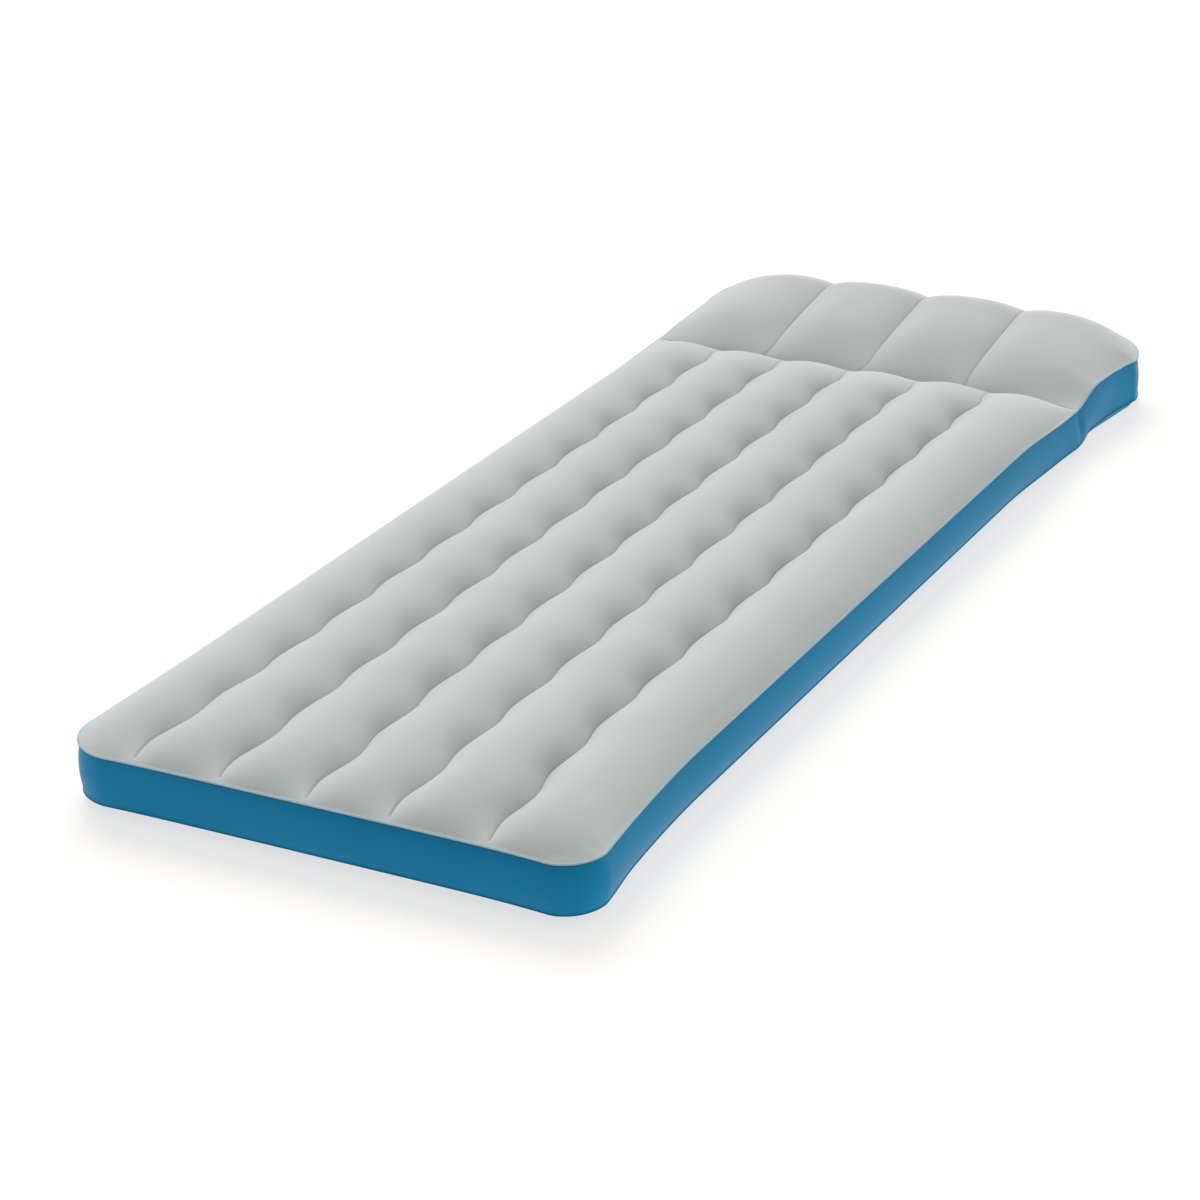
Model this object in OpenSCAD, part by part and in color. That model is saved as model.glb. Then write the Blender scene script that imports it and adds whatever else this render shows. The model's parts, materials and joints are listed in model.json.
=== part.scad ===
// Inflatable camping mattress: a flocked top sheet, a side wall and a bottom sheet of
// vinyl film, tied together inside by wave-shaped webs, with a raised pillow at one end
// and a two-stage screw valve in the left wall beside the pillow.
// Millimetres. X runs across, Y runs to the pillow end, Z is up and the floor is Z = 0.
// The origin is on the floor under the middle of the mattress.

/* [Mattress] */
// Overall length, over the bulging end walls
overall_l = 1882; // [1842:10:1922]
// Width across the middle, over the bulging side walls
overall_w = 712; // [692:5:732]
// How far each wall bulges out past its welds
wall_bulge = 8; // [6:0.5:10]
// Radius of the two foot corners, in plan
corner_r = 60; // [50:5:70]
// Radius of the two head corners, in plan
head_corner_r = 110; // [100:5:115]
// Extra half width at the foot corners, where the channels end
foot_flare = 12; // [0:1:16]
// Extra half width of the pillow at its head corners
pillow_flare = 10; // [4:1:12]
// Thickness of the vinyl film
film = 0.45; // [0.4:0.05:0.6]
// Width of the welded edge that stands out from the seams
weld_w = 4; // [3:0.5:5]

/* [Heights] */
// Underside of the top sheet at the body's edge weld
edge_z = 76.5; // [74:0.5:80]
// Underside of the top sheet at the pillow's edge weld
pillow_edge_z = 77; // [74:0.5:80]
// Underside of the top sheet along the body's wave-shaped welds
valley_z = 80; // [76:1:84]
// Underside of the top sheet along the crowns of the body channels
crest_z = 103; // [100:1:108]
// Underside of the bottom sheet at its welds
bottom_weld_z = 12; // [10:1:14]
// How far the bottom channels would crown below their welds without a floor
bottom_crown = 18; // [16:1:24]
// Underside of the top sheet along the weld between the body and the pillow
junction_z = 62; // [60:1:66]
// Underside of the top sheet along the pillow's welds, at their highest
pillow_valley_z = 111; // [108:1:114]
// Underside of the top sheet at the top of the pillow
pillow_crest_z = 123; // [120:1:130]

/* [Channels] */
// Distance between two of the body's welds
pitch = 115.5; // [112:0.5:118]
// How far each wave-shaped weld swings to either side
wave_amp = 4; // [3:0.5:8]
// Length of one wave
wave_l = 124; // [120:1:130]
// Where one wave is furthest to the right
wave_y = -190; // [-200:1:-180]
// Where the body ends and the pillow starts
junction_y = 622; // [615:1:630]
// Distance between two of the pillow's welds
pillow_pitch = 165; // [160:1:170]
// Where the pillow is highest
pillow_peak_y = 875; // [870:1:880]

/* [Valve] */
// Where the valve is along the mattress
valve_y = 770; // [765:1:775]
// Outer radius of the flange that is welded to the wall
flange_r = 25; // [25:0.5:25.5]
// Inner radius of the threaded neck
neck_r = 15; // [14.8:0.1:15.2]
// Radius of the stopper's head
head_r = 20; // [19.6:0.1:20]
// Radius of the port for a pump's nozzle
port_r = 6.5; // [6.2:0.1:6.8]
// Advance of the valve's thread in one turn
thread_pitch = 4; // [4:0.1:4.4]

/* [Hidden] */
$fn = 72;
BODY_CHANNELS = 6;
PILLOW_CHAMBERS = 4;

// Plan of the edge welds
head_y = overall_l / 2 - wall_bulge;
foot_y = -head_y;
side_x = overall_w / 2 - wall_bulge;
flare_l = 300;       // length over which the foot corners spread
head_flare_l = 200;  // length over which the head corners spread
crown_run = 62;      // length over which a channel rises from a cross weld or an end wall
dip_l = 240;         // length over which the edge weld sinks towards the junction
dip_back_l = 80;     // and rises again along the pillow

// Stations along Y. Each wave has two, at its furthest right and left.
first_wave = ceil((foot_y + corner_r - wave_y) / (wave_l / 2) + 0.2);
last_wave = floor((junction_y - crown_run / 2 - wave_y) / (wave_l / 2));
corner_steps = [for (a = [0:18:90]) a];
rows = concat(
    [for (a = corner_steps) foot_y + corner_r * (1 - cos(a))],
    [for (i = [first_wave:last_wave]) wave_y + i * wave_l / 2],
    [for (d = [30, 13, 4, 0]) junction_y - d],
    [for (d = [12, 30, 55, dip_back_l]) junction_y + d],
    [valve_y - 30, valve_y + 30],
    [for (a = [90:-18:0]) head_y - head_corner_r * (1 - cos(a))]);
// Places of the stations across one body channel and across one pillow chamber
body_steps = [0, 0.22, 0.5, 0.78];
pillow_steps = [0, 0.13, 0.3, 0.5, 0.7, 0.87];
columns = BODY_CHANNELS * len(body_steps);
last_row = len(rows) - 1;

function clamp01(u) = max(0, min(1, u));
function ease(u) = let(c = clamp01(u)) c * c * (3 - 2 * c);
function mix(a, b, u) = a + (b - a) * u;
// A round crown across a channel, 0 at its welds and 1 at its middle
function crown(t) = 4 * t * (1 - t);
// The quarter round by which a channel rises from an end, 0 at the end and 1 past the run
function rise(d, run) = sqrt(1 - pow(1 - clamp01(d / run), 2));

// Half width of the edge weld at y
function corner_inset(d, r) = d >= r ? 0 : r - sqrt(max(0, pow(r, 2) - pow(r - d, 2)));
function flare(y) = foot_flare * pow(clamp01((foot_y + corner_r + flare_l - y) / flare_l), 2)
                    + pillow_flare * pow(clamp01((y - junction_y) / head_flare_l), 3);
function half_w(y) = side_x + flare(y) - corner_inset(y - foot_y, corner_r) - corner_inset(head_y - y, head_corner_r);

// Height of the edge weld, which dips beside the junction
function edge_weld_z(y) = y < junction_y
    ? mix(edge_z, junction_z, ease((y - junction_y + dip_l) / dip_l))
    : mix(junction_z, pillow_edge_z, ease((y - junction_y) / dip_back_l));

// Weld lines: number 0 and the last are the edge welds
function body_line(i, y) = i == 0 ? -half_w(y) : i == BODY_CHANNELS ? half_w(y) :
    (i - BODY_CHANNELS / 2) * (pitch + flare(min(y, 0)) / 3) + wave_amp * cos(360 * (y - wave_y) / wave_l);
function pillow_line(i, y) = i == 0 ? -half_w(y) : i == PILLOW_CHAMBERS ? half_w(y) :
    (i - PILLOW_CHAMBERS / 2) * pillow_pitch;
function is_body(y) = y <= junction_y;
function steps_at(y) = is_body(y) ? body_steps : pillow_steps;
function line_at(i, y) = is_body(y) ? body_line(i, y) : pillow_line(i, y);

// The channel that column k lies in, and how far across it
function channel(k, y) = floor(k / len(steps_at(y)));
function across(k, y) = steps_at(y)[k % len(steps_at(y))];
function column_x(k, y) = k == columns ? half_w(y) :
    mix(line_at(channel(k, y), y), line_at(channel(k, y) + 1, y), across(k, y));

// Heights along the body's welds and crowns
function body_rise(y) = min(rise(y - foot_y, crown_run), rise(junction_y - y, crown_run));
function body_weld_z(y) = mix(edge_weld_z(y), valley_z, body_rise(y));
// Heights along the pillow's welds and crowns
function pillow_z(y, peak_z) = y < pillow_peak_y
    ? mix(junction_z, peak_z, pow(max(0, y - junction_y) / (pillow_peak_y - junction_y), 0.55))
    : mix(pillow_edge_z, peak_z, sqrt(max(0, 1 - pow((y - pillow_peak_y) / (head_y - pillow_peak_y), 2))));
function pillow_weld_z(y) = pillow_z(y, pillow_valley_z);
// Height of inner weld i, or of the edge weld
function weld_z(i, y, count) = i == 0 || i == count ? edge_weld_z(y) :
    is_body(y) ? body_weld_z(y) : pillow_weld_z(y);
function full_crest_z(y) = is_body(y) ? mix(edge_weld_z(y), crest_z, body_rise(y))
                                      : pillow_z(y, pillow_crest_z);
function channel_count(y) = is_body(y) ? BODY_CHANNELS : PILLOW_CHAMBERS;
function top_z(k, y) = k == columns ? edge_weld_z(y) :
    let(i = channel(k, y), n = channel_count(y), t = across(k, y),
        a = weld_z(i, y, n), b = weld_z(i + 1, y, n))
    mix(a, b, t) + max(0, full_crest_z(y) - (a + b) / 2) * crown(t);
// The bottom channels crown down and lie flat where they meet the floor
function bottom_rise(y) = min(rise(min(y - foot_y, head_y - y), crown_run), rise(abs(y - junction_y), crown_run));
function bottom_z(k, y) = k == columns ? bottom_weld_z :
    max(0, bottom_weld_z - bottom_crown * crown(across(k, y)) * bottom_rise(y));

// Outline of the sheets, anticlockwise from the left foot corner: [column, row] pairs
function outline(every_column, row_list) = let(n = len(row_list) - 1) concat(
    [for (k = [0:every_column:columns]) [k, row_list[0]]],
    [for (r = [1:n]) [columns, row_list[r]]],
    [for (k = [columns - every_column:-every_column:0]) [k, row_list[n]]],
    [for (r = [n - 1:-1:1]) [0, row_list[r]]]);
function plan(o) = [for (s = o) [column_x(s[0], s[1]), s[1]]];
// Outward direction at each point of a closed anticlockwise outline
function outward(p) = let(n = len(p)) [for (i = [0:n - 1])
    let(d = p[(i + 1) % n] - p[(i + n - 1) % n]) [d[1], -d[0]] / norm(d)];
function two_triangles(a, b, c, d) = [[a, b, c], [a, c, d]];

// A sheet of film whose underside passes through the given heights, with its weld edge
module skin(under) {
    m = columns + 1;
    count = len(rows) * m;
    o = outline(1, rows);
    n = len(o);
    p = plan(o);
    dir = outward(p);
    sheet = [for (r = [0:last_row], k = [0:columns]) [column_x(k, rows[r]), rows[r], under[r][k]]];
    loop = [for (i = [0:n - 1])
        i <= columns ? i :
        i <= columns + last_row ? (i - columns) * m + columns :
        i <= 2 * columns + last_row ? last_row * m + 2 * columns + last_row - i :
        (n - i) * m];
    edge = [for (i = [0:n - 1]) let(q = p[i] + weld_w * dir[i]) [q[0], q[1], sheet[loop[i]][2]]];
    lower = concat(sheet, edge);
    up = len(lower);
    upper = [for (q = lower) q + [0, 0, film]];
    quads = concat(
        [for (r = [0:last_row - 1], k = [0:columns - 1])
            [r * m + k, (r + 1) * m + k, (r + 1) * m + k + 1, r * m + k + 1]],
        [for (i = [0:n - 1]) let(j = (i + 1) % n) [loop[i], loop[j], count + j, count + i]]);
    polyhedron(concat(lower, upper), concat(
        [for (q = quads) each two_triangles(q[0] + up, q[1] + up, q[2] + up, q[3] + up)],
        [for (q = quads) each [[q[2], q[1], q[0]], [q[3], q[2], q[0]]]],
        [for (i = [0:n - 1]) let(j = (i + 1) % n)
            each two_triangles(count + i + up, count + j + up, count + j, count + i)]), convexity = 12);
}

module top_sheet() {
    color("LightGray") skin([for (y = rows) [for (k = [0:columns]) top_z(k, y)]]);
}

module bottom_sheet() {
    color("SteelBlue") skin([for (y = rows) [for (k = [0:columns]) bottom_z(k, y)]]);
}

// The valve lies along -X, with its seat on the wall's outer face
valve_x = -side_x - 10;
valve_z = 45;
module on_valve() {
    translate([valve_x, valve_y, valve_z]) rotate([0, -90, 0]) children();
}
module ring(r_in, r_out, low, high) {
    translate([0, 0, low]) difference() {
        cylinder(r = r_out, h = high - low);
        translate([0, 0, -1]) cylinder(r = r_in, h = high - low + 2);
    }
}

// The wall is a strip with a weld edge along both sides. Around the valve it is flat.
wall_steps = [0.09, 0.3, 0.5, 0.7, 0.91];
wall_low_z = bottom_weld_z + film;
wall_rows = [for (y = rows) if (y < foot_y + corner_r + flare_l || y > junction_y - dip_l - wave_l) y];
function wall_flat(s) = s[0] == 0 && abs(s[1] - valve_y) < 31;
function wall_offset(s, f) = wall_flat(s) ? -valve_x - half_w(s[1]) : wall_bulge * crown(f);
function wall_section(s) = let(z0 = wall_low_z, z1 = edge_weld_z(s[1])) concat(
    [[0, z0], [weld_w, z0], [weld_w, z0 + film], [film, z0 + film]],
    [for (f = wall_steps) [wall_offset(s, f), mix(z0, z1, f)]],
    [[film, z1 - film], [weld_w, z1 - film], [weld_w, z1], [0, z1]],
    [for (i = [len(wall_steps) - 1:-1:0]) let(f = wall_steps[i])
        [wall_offset(s, f) - film, mix(z0, z1, f)]]);

neck_wall = 1.6;
wall_hole_r = neck_r + neck_wall + 0.2;
module side_wall() {
    o = outline(columns / 3, wall_rows);
    n = len(o);
    p = plan(o);
    dir = outward(p);
    sections = [for (s = o) wall_section(s)];
    m = len(sections[0]);
    color("SteelBlue") difference() {
        polyhedron(
            [for (i = [0:n - 1], c = sections[i])
                let(q = p[i] + c[0] * (wall_flat(o[i]) ? [-1, 0] : dir[i])) [q[0], q[1], c[1]]],
            [for (i = [0:n - 1], c = [0:m - 1]) let(j = (i + 1) % n, e = (c + 1) % m)
                each two_triangles(i * m + c, i * m + e, j * m + e, j * m + c)], convexity = 12);
        on_valve() translate([0, 0, -4]) cylinder(r = wall_hole_r, h = 8);
    }
}

// Webs that tie the top sheet to the bottom sheet. They stop short of the walls, so air passes.
beam_gap = 28;
beam_rows = [for (y = rows) if (y > foot_y + beam_gap && y < junction_y - crown_run) y];
module wave_beam(i) {
    color("LightSteelBlue") translate([0, 0, wall_low_z])
        linear_extrude(height = body_weld_z(beam_rows[0]) - wall_low_z)
            polygon(concat(
                [for (y = beam_rows) [body_line(i, y) - film / 2, y]],
                [for (b = [len(beam_rows) - 1:-1:0]) [body_line(i, beam_rows[b]) + film / 2, beam_rows[b]]]));
}

module cross_beam() {
    reach = side_x - beam_gap;
    color("LightSteelBlue") translate([-reach, junction_y - film / 2, wall_low_z])
        cube([2 * reach, film, junction_z - wall_low_z]);
}

module pillow_beam(i) {
    span = [for (y = rows) if (y > junction_y + 30 && y < head_y - beam_gap / 2) y];
    color("LightSteelBlue") translate([pillow_line(i, 0) - film / 2, 0, 0]) rotate([90, 0, 90])
        linear_extrude(height = film)
            polygon(concat(
                [for (y = span) [y, pillow_weld_z(y)]],
                [[span[len(span) - 1], wall_low_z], [span[0], wall_low_z]]));
}

// Heights along the valve, measured outwards from the wall's outer face
flange_t = 0.8;
neck_top = 2;
neck_depth = 10;
gap = 0.1;
seal_top = neck_top + gap + 1;
head_top = seal_top + 2.5;
shank_depth = 7;
port_depth = 8;
shank_r = neck_r - 1.4;
thread_r = neck_r - 0.4;
ridge_in_r = neck_r - 0.8;
seat_low = 0.2;
below_port_r = port_r + 0.7;
port_wall = 1.4;
collar_r = port_r + 1.5;
collar_in_r = port_r + 0.5;
collar_h = 2.5;
anchor_r = 22.6;
anchor_angle = 140;
post_r = 1.25;
grips = 24;

// A thread of short ring segments that climb in a right-handed helix
thread_low = -5.5;
thread_segments = 15;
segment_angle = 30;
module thread(low, root_r, tip_r) {
    for (i = [0:thread_segments - 1])
        rotate(i * segment_angle)
            translate([0, 0, low + i * thread_pitch * segment_angle / 360])
                rotate_extrude(angle = segment_angle)
                    polygon([[root_r, -0.8], [tip_r, -0.35], [tip_r, 0.35], [root_r, 0.8]]);
}

module valve_base() {
    color("White") on_valve() {
        ring(neck_r, flange_r, 0, flange_t);
        ring(neck_r, neck_r + neck_wall, -neck_depth, neck_top);
        thread(thread_low + thread_pitch / 2, neck_r + 0.1, ridge_in_r);
        rotate(anchor_angle) translate([anchor_r, 0, 0]) {
            translate([0, 0, flange_t]) cylinder(r = post_r, h = 2.2);
            translate([0, 0, flange_t + 2.15]) cylinder(r1 = 1.8, r2 = 1.2, h = 0.5);
        }
    }
}

module valve_patch() {
    color("SteelBlue") on_valve() ring(wall_hole_r + 0.2, flange_r, -2 * film, -film);
}

// A ring under the stopper's head that stays put while the stopper turns
ring_in_r = 16.8;
ring_out_r = 19.4;
strap_low = neck_top + gap;
strap_high = seal_top - 0.2;
strap_w = 2.8;
module tether_ring() {
    color("White") on_valve() ring(ring_in_r, ring_out_r, strap_low, strap_high);
}

module tether_strap() {
    t = strap_high - strap_low;
    color("White") on_valve() difference() {
        translate([0, 0, strap_low]) union() {
            rotate_extrude(angle = 12) translate([ring_out_r, 0]) square([anchor_r - ring_out_r, t]);
            rotate_extrude(angle = anchor_angle) translate([anchor_r - strap_w / 2, 0]) square([strap_w, t]);
            rotate(anchor_angle) translate([anchor_r, 0, 0]) cylinder(r = 2.3, h = t);
        }
        rotate(anchor_angle) translate([anchor_r, 0, 0]) cylinder(r = post_r + 0.05, h = 6);
    }
}

// Hinge of the flap, behind the port, and hinge of the cap, on the stopper's head
flap_pin = [10.6, -8.6];
flap_pin_r = 0.8;
flap_t = 0.6;
flap_top = -port_depth - 0.3;
cap_pin = [14.6, head_top + 1.6];
cap_pin_r = 0.8;
eye_r = 1.6;
pin_gap = 0.08;
strap_post_x = 17.6;

module along_y(half) {
    rotate([90, 0, 0]) translate([0, 0, -half]) children();
}

module valve_stopper() {
    color("White") on_valve() difference() {
        union() {
            translate([0, 0, seal_top]) cylinder(r = head_r, h = head_top - seal_top);
            ring(shank_r - 1.4, shank_r, -shank_depth, seal_top + 0.5);
            thread(thread_low, shank_r - 0.1, thread_r);
            ring(port_r, below_port_r + port_wall, -port_depth, seal_top + 0.5);
            ring(port_r, collar_r, head_top - 0.5, head_top + collar_h);
            for (s = [-1, 1]) translate([0, s * 2.9, 0]) {
                translate([flap_pin[0], 0, flap_pin[1]]) along_y(0.6) cylinder(r = 1.6, h = 1.2);
                translate([below_port_r + 0.4, -0.6, -port_depth]) cube([4.6, 1.2, 2.4]);
            }
            translate([strap_post_x, 0, head_top - 0.5]) cylinder(r = post_r, h = 1.6);
        }
        translate([0, 0, -20]) cylinder(r = below_port_r, h = 20 + seat_low);
        translate([0, 0, -20]) cylinder(r = port_r, h = 40);
        translate([0, 0, head_top]) cylinder(r = collar_in_r, h = 10);
        translate([flap_pin[0], 0, flap_pin[1]]) along_y(5) cylinder(r = flap_pin_r + pin_gap, h = 10);
        for (i = [0:grips - 1]) rotate((i + 0.5) * 360 / grips)
            translate([head_r + 0.5, 0, seal_top - 1]) cylinder(r = 1.1, h = 5, $fn = 24);
    }
}

module stopper_seal() {
    color("DimGray") on_valve() ring(shank_r + 0.05, ring_in_r - 0.4, neck_top + gap, seal_top);
}

// A short soft link that holds the cap's pin in two eyes
module cap_strap() {
    color("White") on_valve() difference() {
        union() {
            for (s = [-1, 1]) translate([0, s * 3.5, 0]) {
                translate([cap_pin[0], 0, cap_pin[1]]) along_y(0.6) cylinder(r = eye_r, h = 1.2);
                translate([cap_pin[0], -0.6, head_top]) cube([3, 1.2, 1]);
            }
            translate([16.4, -4.1, head_top]) cube([2.8, 8.2, 1]);
        }
        translate([cap_pin[0], 0, cap_pin[1]]) along_y(5) cylinder(r = cap_pin_r + pin_gap, h = 10);
        translate([strap_post_x, 0, head_top - 1]) cylinder(r = post_r + 0.05, h = 4);
    }
}

cap_r = 10.5;
cap_low = head_top + collar_h + 0.2;
cap_t = 1.6;
skirt_in_r = collar_r + 0.3;
skirt_out_r = skirt_in_r + 1.3;
module inflation_cap() {
    color("White") on_valve() {
        translate([0, 0, cap_low]) cylinder(r = cap_r, h = cap_t);
        ring(skirt_in_r, skirt_out_r, head_top + 0.3, cap_low + 0.1);
        translate([skirt_out_r - 0.6, -2.4, cap_pin[1] - 0.5]) cube([cap_pin[0] - skirt_out_r + 0.6, 4.8, 1]);
        translate([cap_pin[0], 0, cap_pin[1]]) along_y(4.1) cylinder(r = cap_pin_r, h = 8.2);
        translate([-cap_r - 2.6, 0, cap_low + cap_t - 1]) finger_tab();
    }
}
// The finger tab: a bar with a round end
module finger_tab() {
    cylinder(r = 3.2, h = 1);
    translate([0, -3.2, 0]) cube([4, 6.4, 1]);
}

module flap_valve() {
    color("DimGray") on_valve() {
        translate([0, 0, flap_top - flap_t]) cylinder(r = port_r + 2, h = flap_t);
        translate([port_r + 1, -1.9, flap_top - flap_t]) cube([flap_pin[0] - port_r - 1, 3.8, flap_t]);
        translate([flap_pin[0], 0, flap_pin[1]]) along_y(3.4) cylinder(r = flap_pin_r, h = 6.8);
    }
}

top_sheet();
side_wall();
bottom_sheet();
wave_beam(1);  // wave_beam_1
wave_beam(2);  // wave_beam_2
wave_beam(3);  // wave_beam_3
wave_beam(4);  // wave_beam_4
wave_beam(5);  // wave_beam_5
cross_beam();
pillow_beam(1);  // pillow_beam_1
pillow_beam(2);  // pillow_beam_2
pillow_beam(3);  // pillow_beam_3
valve_base();
valve_patch();
tether_ring();
tether_strap();
valve_stopper();
stopper_seal();
cap_strap();
inflation_cap();
flap_valve();
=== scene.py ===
"""Inflated camping mattress on a pale floor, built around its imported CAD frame."""

import json
import math

import bpy
import numpy as np
from mathutils import Matrix, Vector


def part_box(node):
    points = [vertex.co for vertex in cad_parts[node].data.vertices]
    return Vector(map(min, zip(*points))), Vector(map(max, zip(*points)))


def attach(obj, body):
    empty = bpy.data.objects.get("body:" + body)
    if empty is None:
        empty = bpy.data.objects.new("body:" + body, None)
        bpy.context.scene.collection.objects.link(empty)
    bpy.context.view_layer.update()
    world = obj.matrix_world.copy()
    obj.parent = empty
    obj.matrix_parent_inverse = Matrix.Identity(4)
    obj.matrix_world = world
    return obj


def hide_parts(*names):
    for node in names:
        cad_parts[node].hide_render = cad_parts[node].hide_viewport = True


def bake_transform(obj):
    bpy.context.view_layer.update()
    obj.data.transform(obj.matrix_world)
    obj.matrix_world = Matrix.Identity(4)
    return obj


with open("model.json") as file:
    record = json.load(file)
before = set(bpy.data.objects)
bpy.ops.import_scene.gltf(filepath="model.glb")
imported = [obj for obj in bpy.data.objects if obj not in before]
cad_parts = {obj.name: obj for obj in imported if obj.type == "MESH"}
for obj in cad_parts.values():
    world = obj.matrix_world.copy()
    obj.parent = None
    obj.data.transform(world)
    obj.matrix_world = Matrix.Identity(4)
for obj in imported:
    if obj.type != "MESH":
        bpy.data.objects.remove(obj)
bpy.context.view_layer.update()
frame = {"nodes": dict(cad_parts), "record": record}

# ---------------------------------------------------------------- camera
AZIMUTH, ELEVATION, ROLL = map(math.radians, (29.28, 24.55, -1.82))
TARGET = Vector((0.0165, -0.2528, 0.05))
DISTANCE = 4.070
LENS_MM, SENSOR_MM = 92.93, 36.0


def make_camera():
    """The camera looks at TARGET from its azimuth and elevation, turned about its view by ROLL."""
    back = Vector((math.sin(AZIMUTH) * math.cos(ELEVATION),
                   -math.cos(AZIMUTH) * math.cos(ELEVATION), math.sin(ELEVATION)))
    right = (-back).cross(Vector((0, 0, 1))).normalized()
    up = right.cross(-back)
    turned = math.cos(ROLL) * right + math.sin(ROLL) * up
    up = -math.sin(ROLL) * right + math.cos(ROLL) * up
    data = bpy.data.cameras.new("camera")
    data.lens, data.sensor_width = LENS_MM, SENSOR_MM
    camera = bpy.data.objects.new("camera", data)
    rows = [(turned[i], up[i], back[i], (TARGET + DISTANCE * back)[i]) for i in range(3)]
    camera.matrix_world = Matrix(rows + [(0, 0, 0, 1)])
    bpy.context.collection.objects.link(camera)
    bpy.context.scene.camera = camera


make_camera()

# ---------------------------------------------------------------- sizes
# In metres. The foot is at low Y. A name that ends in _Y is a place along Y, and one that ends in
# _L is the length along Y over which something eases in or out. A pair is for the left and the
# right side, which aren't quite alike.
FILM, WELD = 0.00045, 0.004
HEAD_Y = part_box("top_sheet")[1].y - WELD
FOOT_Y = -HEAD_Y
JUNCTION_Y = 0.622  # the cross weld between the body and the pillow

# plan of the edge weld
SIDE_X = 0.348
LEFT_IN, LEFT_IN_Y, LEFT_IN_L = 0.010, 0.62, 0.20
FOOT_FLARE, FOOT_FLARE_START, FOOT_FLARE_L, FOOT_FLARE_POWER = (0.005, 0.019), 0.043, 0.270, 1.7
HEAD_FLARE, HEAD_FLARE_L, HEAD_FLARE_POWER = (0.007, 0.020), 0.200, 3
FOOT_CORNER_R, HEAD_CORNER_R = (0.070, 0.050), (0.075, 0.125)

# the foot end isn't square: it slants across the mattress and its corners stand out
SLANT, SLANT_RANGE_X, SLANT_Y, SLANT_L = 0.018, (-0.28, 0.33), -0.7, 0.2
FOOT_BOW, FOOT_BOW_POWER = 0.006, 6

# heights of the welds
EDGE_Z, VALLEY_Z, BOTTOM_WELD_Z = 0.0765, 0.080, 0.012
JUNCTION_LEFT_Z, JUNCTION_Z = 0.072, 0.062
DIP_L, DIP_BACK_L = 0.240, 0.080
CROWN_RUN = 0.062  # over which a body channel rises from its closed end

# seams of the body, which wave, and drift along Y from a regular wave
BODY_CHANNELS = 6
PITCH, WAVE_AMP, WAVE_L, WAVE_Y = 0.1155, 0.0046, 0.124, -0.190
OUTER_DRIFT, INNER_DRIFT = (0.012, 0.020), (0.002, 0.010, 0.025)
SEAM_SPREAD, SEAM_SPREAD_START, SEAM_SPREAD_L = 0.012, 0.070, 0.300
LINE_SHIFT = (0, 0.001, -0.005, -0.008, -0.010, -0.008, 0)
SHIFT_Y, SHIFT_L, EVEN_SHIFT_LINE = -0.92, 0.35, 4

# pillow: its seams rise steeply, peak and fall to the head, and its chambers crown between them
CHAMBERS = 4
PILLOW_PITCH = 0.165
PILLOW_EDGE_Z, PILLOW_VALLEY_Z, PILLOW_CROWN = 0.077, 0.1138, 0.0125
PILLOW_PEAK_Y = 0.867
FRONT_POWER, BACK_POWER, CROWN_POWER = 0.6, 1.3, 2.4
SWELL_L, SWELL_POWER, SWELL_EXTRA = 0.10, 0.7, 0.35
SOFT_START, SOFT_START_L, SOFT_END, SOFT_END_L, SOFT_REACH = 0.06, 0.05, 0.004, 0.022, 0.021


def ease(u):
    """0 below 0, 1 above 1 and a smooth step between them."""
    u = np.clip(u, 0, 1)
    return u * u * (3 - 2 * u)


def by_side(side, pair):
    """The left value where side is below 0 and the right one where it is above."""
    return np.where(np.asarray(side) > 0, pair[1], pair[0])


def half_width(y, side):
    """Distance of the left or right edge weld from the middle."""
    foot = np.clip((FOOT_Y + FOOT_FLARE_START + FOOT_FLARE_L - y) / FOOT_FLARE_L, 0, 1)
    head = np.clip((y - JUNCTION_Y) / HEAD_FLARE_L, 0, 1)
    return (SIDE_X + by_side(side, FOOT_FLARE) * foot ** FOOT_FLARE_POWER
            + by_side(side, HEAD_FLARE) * head ** HEAD_FLARE_POWER
            - by_side(side, (LEFT_IN, 0)) * ease((LEFT_IN_Y - y) / LEFT_IN_L))


def edge_z(y, side=1):
    """Height of the edge weld, which dips where the cross weld meets it, less on the left."""
    low = by_side(side, (JUNCTION_LEFT_Z, JUNCTION_Z))
    down = EDGE_Z + (low - EDGE_Z) * ease((y - JUNCTION_Y + DIP_L) / DIP_L)
    up = low + (PILLOW_EDGE_Z - low) * ease((y - JUNCTION_Y) / DIP_BACK_L)
    return np.where(y < JUNCTION_Y, down, up)


def rise(d):
    """Share of its full height that a channel has at the distance d from its closed end."""
    return np.sqrt(1 - (1 - np.clip(d / CROWN_RUN, 0, 1)) ** 2)


def body_weld_z(y):
    """Height of the body's seams."""
    up = np.minimum(rise(y - FOOT_Y), rise(JUNCTION_Y - y))
    return edge_z(y) + (VALLEY_Z - edge_z(y)) * up


def body_line(i, y):
    """X of the body's line i at y: the edge welds are the first and the last."""
    if i in (0, BODY_CHANNELS):
        return half_width(y, i - 1) * (1 if i else -1)
    spread = np.clip((FOOT_Y + SEAM_SPREAD_START + SEAM_SPREAD_L - y) / SEAM_SPREAD_L, 0, 1)
    spread = SEAM_SPREAD * spread ** 2
    if i in (1, BODY_CHANNELS - 1):
        start, bend = OUTER_DRIFT
        drift = start + bend * y * (1 + y)
    else:
        start, slope, bend = INNER_DRIFT
        drift = start + slope * y + bend * y * y
    shift = LINE_SHIFT[i] * (1 if i == EVEN_SHIFT_LINE else ease((y - SHIFT_Y) / SHIFT_L))
    half = BODY_CHANNELS / 2
    return ((i - half) * (PITCH + spread / half) + shift
            + WAVE_AMP * np.cos(2 * math.pi * (y + drift - WAVE_Y) / WAVE_L))


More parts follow.
